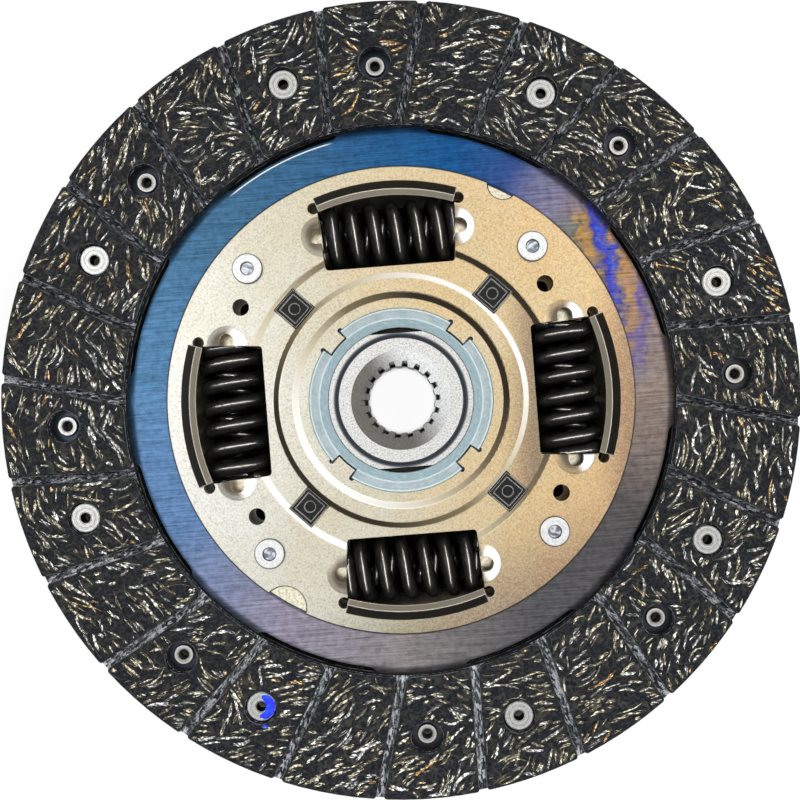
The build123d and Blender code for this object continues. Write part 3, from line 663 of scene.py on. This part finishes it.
def natural_nylon():
    """Milky blue-grey nylon, with painted highlights and painted shade in bands that follow its lips, and darker
    along its edges.
    """
    s = Shader(
        "natural_nylon",
        Roughness=0.24,
        Subsurface_Weight=0.55,
        Subsurface_Scale=0.003,
        Coat_Weight=0.15,
        Coat_Roughness=0.12,
    )
    s.bsdf.inputs["Subsurface Radius"].default_value = (0.6, 0.9, 1.0)
    radius = s.axes()[0]
    milky = s.noise(1.0, 3, 0.6, s.polar(2600, 160), 0.5)
    body = s.ramp(milky, ((0.3, rgb(116, 130, 133)), (0.5, rgb(142, 152, 154)), (0.72, rgb(172, 178, 179))))
    middle = s.math("ABSOLUTE", s.math("SUBTRACT", radius, 23.1 * MM))
    cloud = s.smooth(s.noise(260, 2, 0.5), 0.36, 0.6)
    pale = s.times(s.fall(middle, 0.5 * MM, 1.5 * MM), cloud)
    body = s.mix(s.times(pale, 0.75), body, rgb(182, 184, 187))
    banded = s.ramp(
        s.between(radius, BUSH_IN, BUSH_OUT),
        (
            (0.0, rgb(60, 88, 98)),
            (0.06, rgb(124, 146, 153)),
            (0.4, rgb(112, 142, 152)),
            (0.45, rgb(196, 210, 214)),
            (0.5, rgb(136, 150, 154)),
            (0.8, rgb(128, 146, 151)),
            (0.86, rgb(210, 220, 223)),
            (0.9, rgb(78, 108, 118)),
        ),
    )
    body = s.mix(0.6, body, banded)
    s.colour(s.mix(s.times(s.edges(0.35 * MM), 0.6), body, rgb(84, 118, 130)))
    s.rough(milky, 0.16, 0.36)
    s.bump(milky, 0.12 * MM, 0.5, edge=0.25 * MM)
    return s


dress(natural_nylon(), "guide_bush", "rear_bush")


def black_plastic():
    """Black plastic with painted highlights along its edges."""
    s = Shader("black_plastic", Roughness=0.3, Specular_IOR_Level=0.3)
    moulding = s.noise(800, 3, 0.6)
    tone = s.ramp(moulding, ((0.35, rgb(6, 6, 7)), (0.7, rgb(18, 18, 20))))
    s.colour(s.mix(s.times(s.edges(0.36 * MM), 0.85), tone, rgb(206, 204, 198)))
    s.rough(moulding, 0.28, 0.5)
    s.bump(moulding, 0.04 * MM, 0.6, edge=0.2 * MM)
    return s


dress(black_plastic(), "friction_ring")

# ---- new pieces ---------------------------------------------------------------------------------------------


def new_object(name, data):
    made = bpy.data.objects.new(name, data)
    bpy.context.scene.collection.objects.link(made)
    return made


def new_mesh(name, points, faces):
    mesh = bpy.data.meshes.new(name)
    mesh.from_pydata([tuple(p) for p in points], [], [tuple(f) for f in faces])
    return mesh


def add_mesh(name, points, faces, materials, body, face_materials=None, smooth=True):
    """A mesh piece from points in metres, riding on a body."""
    mesh = new_mesh(name, points, faces)
    for shader in materials:
        mesh.materials.append(shader.material)
    if face_materials is not None:
        mesh.polygons.foreach_set("material_index", np.asarray(face_materials, np.int32))
    mesh.polygons.foreach_set("use_smooth", np.full(len(mesh.polygons), smooth))
    mesh.update()
    made = new_object(name, mesh)
    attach(made, body)

# ---- cut fibres on the facings ------------------------------------------------------------------------------


def pad_room(x, y):
    """How far inside a pad's top each point lies, in millimetres; below 0 is off the pads."""
    r = np.hypot(x, y)
    inner = r - FACING_IN
    groove = np.full(x.shape, 99.0)
    for k in range(GROOVES):
        a = math.radians(GROOVE_PHASE + 360 / GROOVES * k)
        along = x * math.cos(a) + y * math.sin(a)
        across = y * math.cos(a) - x * math.sin(a) - GROOVE_OFFSET
        groove = np.where(along > 0, np.minimum(groove, np.abs(across) - GROOVE_WIDTH / 2), groove)
    room = np.minimum(np.minimum(inner, FACING_OUT - r), groove)
    corner = CORNER_R - np.hypot(CORNER_R - groove, CORNER_R - inner)
    room = np.where((groove < CORNER_R) & (inner < CORNER_R), np.minimum(room, corner), room)
    for angle in RIVET_ANGLES:
        a = math.radians(angle)
        room = np.minimum(room, np.hypot(x - RIVET_R * math.cos(a), y - RIVET_R * math.sin(a)) - WELL_R)
    return room


YARN_TONES = (
    ("yarn_khaki", (209, 198, 166), 0.32),
    ("yarn_cream", (232, 226, 208), 0.2),
    ("yarn_copper", (216, 172, 110), 0.04),
    ("yarn_grey", (182, 182, 176), 0.13),
    ("yarn_brown", (138, 128, 104), 0.185),
    ("yarn_pale", (252, 250, 245), 0.12),
)


def yarn_shader(name, tone):
    """Painted highlight along a filament's crest and painted shade at its buried sides."""
    s = Shader(name, Roughness=0.35, Specular_IOR_Level=0.5)
    height = s.axes()[2]
    proud = s.most(s.math("SUBTRACT", height, FRONT_Z), s.math("SUBTRACT", REAR_Z, height))
    streak = s.noise(1000, 3, 0.66)
    crest = s.smooth(proud, 0.03 * MM, 0.19 * MM)
    value = s.times(crest, s.remap(s.smooth(streak, 0.4, 0.66), 0.24, 1.0))
    dark, mid = rgb(*[v * 0.2 for v in tone]), rgb(*[v * 0.5 for v in tone])
    light = rgb(*[(v + 255) / 2 for v in tone])
    s.colour(s.ramp(value, ((0.06, dark), (0.38, mid), (0.68, rgb(*tone)), (0.88, light))))
    s.rough(streak, 0.25, 0.5)
    return s


yarn_shaders = [yarn_shader(name, tone) for name, tone, _ in YARN_TONES]
yarn_weights = np.array([weight for _, _, weight in YARN_TONES])
TUFTS, YARNS, STATIONS = 210, 5200, 11
YARN_APART = 0.46  # least gap between two yarns' middles
YARN_INSIDE = 0.5  # least gap to a pad's edge
YARN_SECTION = ((-1.0, 0.0), (-0.5, 0.62), (0.0, 1.0), (0.5, 0.62), (1.0, 0.0))  # across, and share of the crest
YARN_FOOT = -0.03  # height of a filament's sides, under the pad's top


def build_yarn(name, seed, place):
    """Chopped pieces of twisted yarn in aligned tufts, pressed into the pads' tops.

    place turns the facing's own frame, with its pads' tops at height 0, into the row's. Millimetres till then.
    """
    rng = np.random.default_rng(seed)
    # tufts: their places, the way and the bend of their yarns, and their mix of tones
    tuft_r = np.sqrt(rng.uniform(FACING_IN**2, FACING_OUT**2, TUFTS))
    tuft_a = rng.uniform(0, 2 * np.pi, TUFTS)
    tuft_x, tuft_y = tuft_r * np.cos(tuft_a), tuft_r * np.sin(tuft_a)
    tuft_way = tuft_a + np.pi / 2 + rng.normal(0.25, 0.55, TUFTS)
    tuft_bend = rng.normal(0, 0.06, TUFTS)
    tuft_tone = rng.dirichlet(yarn_weights * 10, TUFTS)
    # yarns, each in its nearest tuft
    r = np.sqrt(rng.uniform(FACING_IN**2, FACING_OUT**2, YARNS))
    a = rng.uniform(0, 2 * np.pi, YARNS)
    x, y = r * np.cos(a), r * np.sin(a)
    near = np.argmin((x[:, None] - tuft_x) ** 2 + (y[:, None] - tuft_y) ** 2, axis=1)
    way = tuft_way[near] + rng.normal(0, 0.17, YARNS)
    bend = tuft_bend[near] + rng.normal(0, 0.07, YARNS)
    length = np.clip(rng.lognormal(math.log(4.9), 0.48, YARNS), 1.6, 12.0)
    taken_x, taken_y = [], []
    points, faces, tones = [], [], []
    wide = len(YARN_SECTION)
    for i in range(YARNS):
        along = np.linspace(-0.5, 0.5, STATIONS) * length[i]
        heading = way[i] + bend[i] * along + np.cumsum(rng.normal(0, 0.06, STATIONS))
        step = np.diff(along, prepend=along[0])
        px = x[i] + np.cumsum(np.cos(heading) * step) - np.cos(way[i]) * length[i] / 2
        py = y[i] + np.cumsum(np.sin(heading) * step) - np.sin(way[i]) * length[i] / 2
        tone = rng.choice(len(YARN_TONES), p=tuft_tone[near[i]])
        strands = int(rng.choice((1, 2, 3), p=(0.32, 0.44, 0.24)))
        lay = rng.uniform(0, 2 * np.pi)
        twist = rng.uniform(0.8, 2.2)
        spread = rng.uniform(0.16, 0.34)
        lift = rng.uniform(0.0, 0.04)
        fat = rng.uniform(0.19, 0.42, strands)
        lumps = rng.normal(0, 1, (strands, STATIONS))
        # only the run of it that lies on a pad, and clear of the yarns before it
        inside = pad_room(px, py) > YARN_INSIDE
        if inside.sum() < 4:
            continue
        if taken_x:
            gap_x = np.array(taken_x)[:, None] - px[None, ::2]
            gap_y = np.array(taken_y)[:, None] - py[None, ::2]
            if np.min(np.hypot(gap_x, gap_y)) < YARN_APART:
                continue
        first = int(np.argmax(inside))
        run = inside[first:]
        last = first + (int(np.argmin(run)) if not run.all() else len(run))
        if last - first < 4:
            continue
        taken_x += list(px[first:last])
        taken_y += list(py[first:last])
        kept = np.arange(first, last)
        t = np.linspace(-1, 1, len(kept))
        nx, ny = -np.sin(heading[kept]), np.cos(heading[kept])
        # its filaments, laid round one another
        for f in range(strands):
            phase = lay + 2 * np.pi * f / strands + twist * along[kept]
            side = spread * np.cos(phase) * (strands > 1)
            rise = 0.05 * np.sin(phase) * (strands > 1)
            taper = np.clip(1.04 - np.abs(t) ** 2.4, 0, 1)
            half = fat[f] * (1.25 if strands == 1 else 1.0) * taper * (1 + 0.22 * lumps[f, kept])
            crest = 0.15 + lift + rise + 0.02 * lumps[f, kept]
            start = len(points)
            for j, k in enumerate(kept):
                cx, cy = px[k] + nx[j] * side[j], py[k] + ny[j] * side[j]
                for offset, share in YARN_SECTION:
                    level = share * crest[j] if share else YARN_FOOT
                    points.append((cx + nx[j] * half[j] * offset, cy + ny[j] * half[j] * offset, level))
            for j in range(len(kept) - 1):
                for c in range(wide - 1):
                    b = start + wide * j + c
                    faces.append((b, b + wide, b + wide + 1, b + 1))
                    tones.append(tone)
    placed = [place @ (Vector(p) * MM) for p in points]
    add_mesh(name, placed, faces, yarn_shaders, "driven_plate", tones)


front_place = Matrix.Translation((0, 0, FRONT_Z))
rear_turn = Matrix.Rotation(math.radians(FRONT_RIVETS), 4, "Z") @ Matrix.Rotation(math.pi, 4, "X")
build_yarn("front_yarn", 21, front_place)
build_yarn("rear_yarn", 22, Matrix.Translation((0, 0, REAR_Z)) @ rear_turn)

# ---- a dab of marking paint on one rivet --------------------------------------------------------------------


def marking_paint():
    """Thick glossy blue paint."""
    s = Shader("blue_marking_paint", Roughness=0.3, Coat_Weight=0.3, Coat_Roughness=0.1)
    pooled = s.noise(900, 3, 0.6, distortion=0.5)
    s.colour(s.ramp(pooled, ((0.3, rgb(0, 14, 205)), (0.55, rgb(0, 44, 255)), (0.8, rgb(0, 120, 255)))))
    s.bump(pooled, 0.05 * MM, 0.5)
    return s


def build_paint():
    """A thick crescent on the right half of the head and a small smear on the pad below it."""
    rng = np.random.default_rng(5)
    turn = math.radians(FRONT_RIVETS + 225)
    head = Vector((math.cos(turn), math.sin(turn), 0)) * (RIVET_R * MM)
    points, faces = [], []

    def patch(grid, height):
        """A sheet from rows of (across, up, thickness) in millimetres."""
        start, columns = len(points), len(grid[0])
        for row in grid:
            for x, y, thick in row:
                points.append(head + (RIGHT * x + ABOVE * y) * MM + Vector((0, 0, height + thick * MM)))
        for i in range(len(grid) - 1):
            for j in range(columns - 1):
                a = start + i * columns + j
                faces.append((a, a + 1, a + columns + 1, a + columns))

    crescent = []
    for i in range(33):
        a = math.radians(-98 + 186 * i / 32)
        inner, outer = 1.25 + rng.uniform(-0.08, 0.12), 3.9 + rng.uniform(-0.14, 0.06)
        taper = math.sin(math.pi * min(max(i / 32, 0.02), 0.98)) ** 0.35
        middle, half = (inner + outer) / 2, (outer - inner) / 2 * taper
        row = []
        for j in range(9):
            v = j / 4 - 1
            reach = middle + half * v
            row.append((reach * math.cos(a), reach * math.sin(a), 0.13 * (1 - v**4) * taper - 0.015))
        crescent.append(row)
    patch(crescent, FRONT_Z - 1.2 * MM)
    smear = []
    for i in range(17):
        a = 2 * math.pi * i / 16
        size = 1 + 0.25 * math.sin(3 * a + 1)
        row = []
        for v in (0.02, 0.35, 0.7, 1):
            across, up = 1.2 + v * 0.75 * size * math.cos(a), -5.0 + v * 0.5 * size * math.sin(a)
            row.append((across, up, 0.09 * (1 - v**2) - 0.01))
        smear.append(row)
    patch(smear, FRONT_Z)
    add_mesh("paint_mark", points, [f[::-1] for f in faces], [marking_paint()], "driven_plate")


build_paint()

# ---- floors of the front cover's rim notches ----------------------------------------------------------------


def notch_ledge():
    """Pale plating with a painted shadow line along the rim."""
    s = Shader("notch_ledge", Metallic=0.6, Roughness=0.4)
    grain = s.noise(1500, 3, 0.6)
    rim_shadow = s.smooth(s.axes()[0], 62.6 * MM, 62.9 * MM)
    tone = s.ramp(grain, ((0.3, rgb(168, 160, 136)), (0.6, rgb(232, 226, 204))))
    s.colour(s.mix(rim_shadow, tone, rgb(40, 36, 32)))
    s.bump(grain, 0.05 * MM, 0.6)
    return s


def build_notch_floors():
    """Half-moon ledges a little below the front cover's face, inside its two rim notches."""
    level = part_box("front_cover")[1].z - 3.5 * MM
    rim, play = COVER_R - 0.5, 0.3  # kept clear of the rim and of the bite's edge
    points, faces = [], []
    for angle, half, depth in RIM_NOTCHES:
        bite = (half**2 + depth**2) / (2 * depth)
        middle = COVER_R - depth + bite
        turn = math.radians(angle)
        start = len(points)
        edge = []
        for i in range(41):
            a = math.pi - math.radians(74) + math.radians(148) * i / 40
            x, y = middle + (bite - play) * math.cos(a), (bite - play) * math.sin(a)
            if math.hypot(x, y) < rim:
                edge.append((x, y))
        low, high = (math.atan2(y, x) for x, y in (edge[-1], edge[0]))
        for i in range(13):
            a = low + (high - low) * i / 12
            edge.append((rim * math.cos(a), rim * math.sin(a)))
        for x, y in edge:
            world_x, world_y = x * math.cos(turn) - y * math.sin(turn), x * math.sin(turn) + y * math.cos(turn)
            points.append(Vector((world_x, world_y, level / MM)) * MM)
        points.append(sum(points[start:], Vector()) / len(edge))
        hub = len(points) - 1
        for i in range(len(edge)):
            faces.append((start + i, start + (i + 1) % len(edge), hub))
    a, b, c = (points[k] for k in faces[0])
    if (b - a).cross(c - a).z < 0:
        faces = [face[::-1] for face in faces]
    add_mesh("notch_ledges", points, faces, [notch_ledge()], "driven_plate", smooth=False)


build_notch_floors()

# ---- damper springs -----------------------------------------------------------------------------------------


def spring_wire():
    """Oiled black wire; the light on it comes from the two strips."""
    s = Shader("oiled_spring_wire", Roughness=0.3, Specular_IOR_Level=0.12, Coat_Weight=0.25, Coat_Roughness=0.12)
    drawn = s.noise(420, 4, 0.6)
    s.colour(s.ramp(drawn, ((0.3, rgb(0, 0, 0)), (0.6, rgb(2, 2, 2)), (0.8, rgb(9, 7, 6)))))
    s.rough(drawn, 0.26, 0.46)
    s.bump(drawn, 0.05 * MM, 0.5)
    return s


def build_coil(outer_d, wire_d, active_turns, phase, way, per_turn, sides):
    """A closed-end coil along Z about the origin, in millimetres, ground to the window's flare."""
    coil_r = (outer_d - wire_d) / 2
    closed = wire_d + CLOSED_GAP
    active = (SPRING_LENGTH - 2 * closed) / active_turns
    turns = active_turns + 2
    t = np.linspace(0, turns, turns * per_turn + 1)
    heights = [0, closed, SPRING_LENGTH - closed, SPRING_LENGTH]
    z = np.interp(t, [0, 1, turns - 1, turns], heights) - SPRING_LENGTH / 2
    a = math.radians(phase) + way * 2 * np.pi * t
    centre = np.stack([coil_r * np.cos(a), coil_r * np.sin(a), z], 1)
    mesh = bmesh.new()
    rings = []
    for i, p in enumerate(centre):
        pitch = closed if t[i] < 1 or t[i] > turns - 1 else active
        out = np.array([math.cos(a[i]), math.sin(a[i]), 0])
        run = np.array([-math.sin(a[i]) * way, math.cos(a[i]) * way, pitch / (2 * np.pi * coil_r)])
        up = np.cross(run / np.linalg.norm(run), out)
        ring = []
        for s in range(sides):
            b = 2 * np.pi * s / sides
            ring.append(mesh.verts.new(p + wire_d / 2 * (out * math.cos(b) + up * math.sin(b))))
        rings.append(ring)
    for low, high in zip(rings, rings[1:]):
        for s in range(sides):
            n = (s + 1) % sides
            mesh.faces.new((low[s], low[n], high[n], high[s]))
    mesh.faces.new(rings[0][::-1])
    mesh.faces.new(rings[-1])
    bmesh.ops.recalc_face_normals(mesh, faces=mesh.faces)
    # both ends ground off
    for side in (-1, 1):
        normal = Vector((-side * math.tan(WINDOW_FLARE), 0, 1)) * side
        cut = bmesh.ops.bisect_plane(
            mesh,
            geom=mesh.verts[:] + mesh.edges[:] + mesh.faces[:],
            plane_co=(0, 0, side * SPRING_LENGTH / 2),
            plane_no=normal,
            clear_outer=True,
        )
        edges = [e for e in cut["geom_cut"] if isinstance(e, bmesh.types.BMEdge)]
        bmesh.ops.holes_fill(mesh, edges=edges)
    bmesh.ops.recalc_face_normals(mesh, faces=mesh.faces)
    for face in mesh.faces:
        face.smooth = abs(face.normal.z) < 0.99
    return mesh


def place_springs():
    """An outer and an inner coil in each window, instead of the CAD's coarser ones."""
    wire = spring_wire()
    outer = build_coil(18.5, 3.8, 5, 234.0, 1, 36, 16)
    inner = build_coil(10.1, 2.1, 8, 60.0, -1, 24, 10)
    for number in range(WINDOWS):
        turn = math.radians(360 / WINDOWS * number)
        outward = Vector((math.cos(turn), math.sin(turn), 0))
        tangent = Vector((-math.sin(turn), math.cos(turn), 0))
        centre = outward * SPRING_AXIS_R + Vector((0, 0, SPRING_Z))
        seat = Matrix((outward, tangent.cross(outward), tangent)).transposed().to_4x4()
        seat = Matrix.Scale(MM, 4) @ Matrix.Translation(centre) @ seat
        for kind, coil in (("damper_spring", outer), ("inner_spring", inner)):
            name = f"{kind}_{number + 1}"
            mesh = bpy.data.meshes.new(f"{name}_coil")
            coil.to_mesh(mesh)
            mesh.transform(seat)
            mesh.materials.append(wire.material)
            made = new_object(f"{name}_coil", mesh)
            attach(made, "damper_springs")
            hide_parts(name)
            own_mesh(made)


place_springs()

# ---- floor, light and camera --------------------------------------------------------------------------------


def add_floor():
    """White paper that glows for the eye and in gloss, with a painted shadow under the disc where the disc's
    bores would show it.
    """
    paper = Shader("paper", Roughness=0.9)
    length = paper.fed("ShaderNodeVectorMath", paper.place, operation="LENGTH").outputs["Value"]
    reach = paper.math("DIVIDE", length, 0.16)
    # painted shadow: dark paper under the disc, white again inside its middle bore and outside it
    paper.colour(paper.grey_ramp(reach, ((0.0575, 0.86), (0.0615, 0.02), (0.6, 0.02), (0.68, 0.86))))
    glow = paper.node("ShaderNodeEmission")
    glow.inputs["Strength"].default_value = 1.0
    shine = paper.grey_ramp(reach, ((0.0575, 0.95), (0.0615, 0.0), (0.62, 0.0), (0.72, 0.9)))
    share = paper.times(paper.seen_directly(), shine)
    both = paper.fed("ShaderNodeMixShader", share, paper.bsdf.outputs[0], glow.outputs[0])
    paper.feed(paper.tree.nodes["Material Output"].inputs["Surface"], both.outputs[0])
    mesh = new_mesh("floor", [(-3, -3, 0), (3, -3, 0), (3, 3, 0), (-3, 3, 0)], [(0, 1, 2, 3)])
    mesh.materials.append(paper.material)
    floor = new_object("floor", mesh)


add_floor()


def add_world():
    """White where it is seen or mirrored, and half as strong on matt surfaces."""
    world = bpy.data.worlds.new("studio")
    bpy.context.scene.world = world
    world.use_nodes = True
    sky = Nodes(world.node_tree)
    dim = sky.tree.nodes["Background"]
    dim.inputs["Color"].default_value = (0.96, 0.98, 1.0, 1)
    dim.inputs["Strength"].default_value = 0.5
    white = sky.fed("ShaderNodeBackground", (1, 1, 1, 1), 1.0)
    switch = sky.fed("ShaderNodeMixShader", sky.seen_directly(), dim.outputs[0], white.outputs[0])
    sky.feed(sky.tree.nodes["World Output"].inputs["Surface"], switch.outputs[0])


add_world()


def area_lamp(name, size, size_y, power, tone):
    """An oblong lamp that the camera doesn't see."""
    light = bpy.data.lights.new(name, "AREA")
    light.shape = "RECTANGLE"
    light.size, light.size_y = size, size_y
    light.energy = power
    light.color = tone
    made = new_object(name, light)
    made.rotation_mode = "QUATERNION"
    made.visible_camera = False
    return made


def softbox(name, azimuth, elevation, distance, size, power, tone, gloss=True):
    """A square lamp aimed at the axis; one without gloss lights matt surfaces alone."""
    made = area_lamp(name, size, size, power, tone)
    way = image_way(azimuth, elevation)
    made.location = way * distance
    made.rotation_quaternion = way.to_track_quat("Z", "Y")
    made.visible_glossy = gloss


WARM, COOL = (1.0, 0.985, 0.95), (0.97, 0.99, 1.0)
softbox("key", 35, 50, 0.8, 0.22, 4.2, WARM, gloss=False)
softbox("left", 172, 52, 0.8, 0.22, 2.4, COOL, gloss=False)
softbox("below", 278, 34, 0.36, 0.16, 0.8, COOL, gloss=False)
softbox("key_glint", 35, 56, 0.8, 0.2, 0.35, WARM)
softbox("left_glint", 172, 56, 0.8, 0.2, 0.6, COOL)

STRIP_HEIGHT, STRIP_ASIDE, STRIP_POWER = 0.5, 0.1, 62.0


def spring_strip(name, numbers, long_way, aside):
    """A strip lamp over two of the springs, along their turns, for the thin light on each turn's crest."""
    made = area_lamp(name, 2.4, 0.034, STRIP_POWER, (1.0, 0.96, 0.9))
    made.location = Vector((0, 0, STRIP_HEIGHT)) + aside * STRIP_ASIDE
    up = made.location.normalized()
    narrow = up.cross(long_way).normalized()
    made.rotation_quaternion = Matrix((narrow.cross(up), narrow, up)).transposed().to_quaternion()
    lit = bpy.data.collections.new(f"{name}_receivers")
    for number in numbers:
        for kind in ("damper_spring", "inner_spring"):
            lit.objects.link(bpy.data.objects[f"{kind}_{number}_coil"])
    made.light_linking.receiver_collection = lit


spring_strip("strip_upright", (2, 4), ABOVE, RIGHT)
spring_strip("strip_level", (1, 3), RIGHT, ABOVE)


def add_flag():
    """A grey card round the table, seen by gloss alone, that keeps metal edges and slopes from washing out."""
    columns, rows, reach, foot = 48, 8, 1.6, 2
    points, faces = [], []
    for i in range(columns):
        turn = 360 * i / columns
        top = 48 + 9 * math.cos(math.radians(turn - 285))  # higher towards the picture's foot
        for j in range(rows + 1):
            points.append(image_way(turn, foot + (top - foot) * j / rows) * reach)
    for i in range(columns):
        for j in range(rows):
            a, b = i * (rows + 1) + j, (i + 1) % columns * (rows + 1) + j
            faces.append((a, b, b + 1, a + 1))
    card = Shader("card", Roughness=1.0, Base_Color=(0.5, 0.5, 0.51, 1))
    mesh = new_mesh("flag", points, faces)
    mesh.materials.append(card.material)
    flag = new_object("flag", mesh)
    flag.visible_camera = False
    flag.visible_diffuse = False
    flag.visible_shadow = False
    flag.visible_transmission = False


add_flag()

CAMERA_RISE = 0.250  # above the facing's face
FOCAL_PX, IMAGE_PX = 930.0, 800.0
CENTRE_PX = (400.957, 400.030)  # where the disc's rim is centred
FOOT = (0.005, -0.002)  # of the camera, right of and above the axis in the picture


def add_camera():
    """Straight down on the disc, shifted so that the rim is centred in the picture."""
    camera = bpy.data.cameras.new("camera")
    camera.sensor_width = 36.0
    camera.lens = camera.sensor_width * FOCAL_PX / IMAGE_PX
    camera.clip_start, camera.clip_end = 0.01, 20
    scale = FOCAL_PX / CAMERA_RISE
    camera.shift_x = (IMAGE_PX / 2 - FOOT[0] * scale - CENTRE_PX[0]) / IMAGE_PX
    camera.shift_y = (CENTRE_PX[1] - IMAGE_PX / 2 - FOOT[1] * scale) / IMAGE_PX
    eye = new_object("camera", camera)
    eye.location = RIGHT * FOOT[0] + ABOVE * FOOT[1] + Vector((0, 0, FRONT_Z + CAMERA_RISE))
    eye.rotation_euler = (0, 0, math.radians(-IMAGE_TURN))
    bpy.context.scene.camera = eye


add_camera()
bpy.context.scene.view_settings.view_transform = "Standard"
